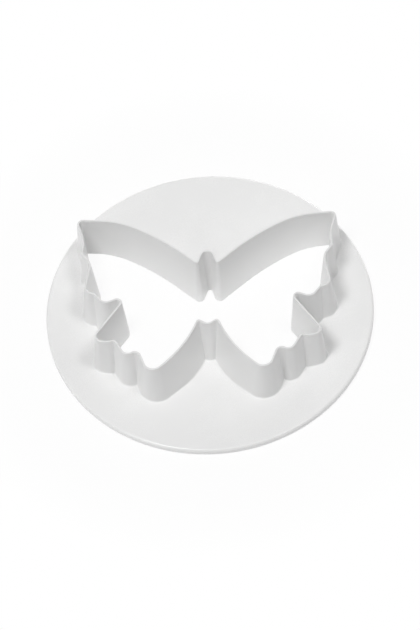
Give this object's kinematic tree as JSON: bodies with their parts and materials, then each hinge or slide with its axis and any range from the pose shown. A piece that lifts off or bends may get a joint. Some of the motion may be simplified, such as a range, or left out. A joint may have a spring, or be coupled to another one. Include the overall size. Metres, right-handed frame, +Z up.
{
  "type": "fondant cutter",
  "caption": "Butterfly-shaped fondant cutter: a thin drafted wall with a fine cutting edge stands on a round flat press plate and is open right through, so the cut shape can be pushed out.",
  "frame": {"origin": "centre of the round press plate, on the flat underside that it rests on", "axes": "+Z up from the press plate to the cutting edge, +Y from the butterfly's tail to its head, +X across the wings to the right as seen from above"},
  "size_m": [0.07, 0.07, 0.0125],
  "materials": {
    "cutter_plastic": "fine satin as moulded, white"
  },
  "bodies": {
    "root": {"press_plate": "cutter_plastic", "cutting_wall": "cutter_plastic", "cutting_lip": "cutter_plastic"}
  },
  "joints": []
}
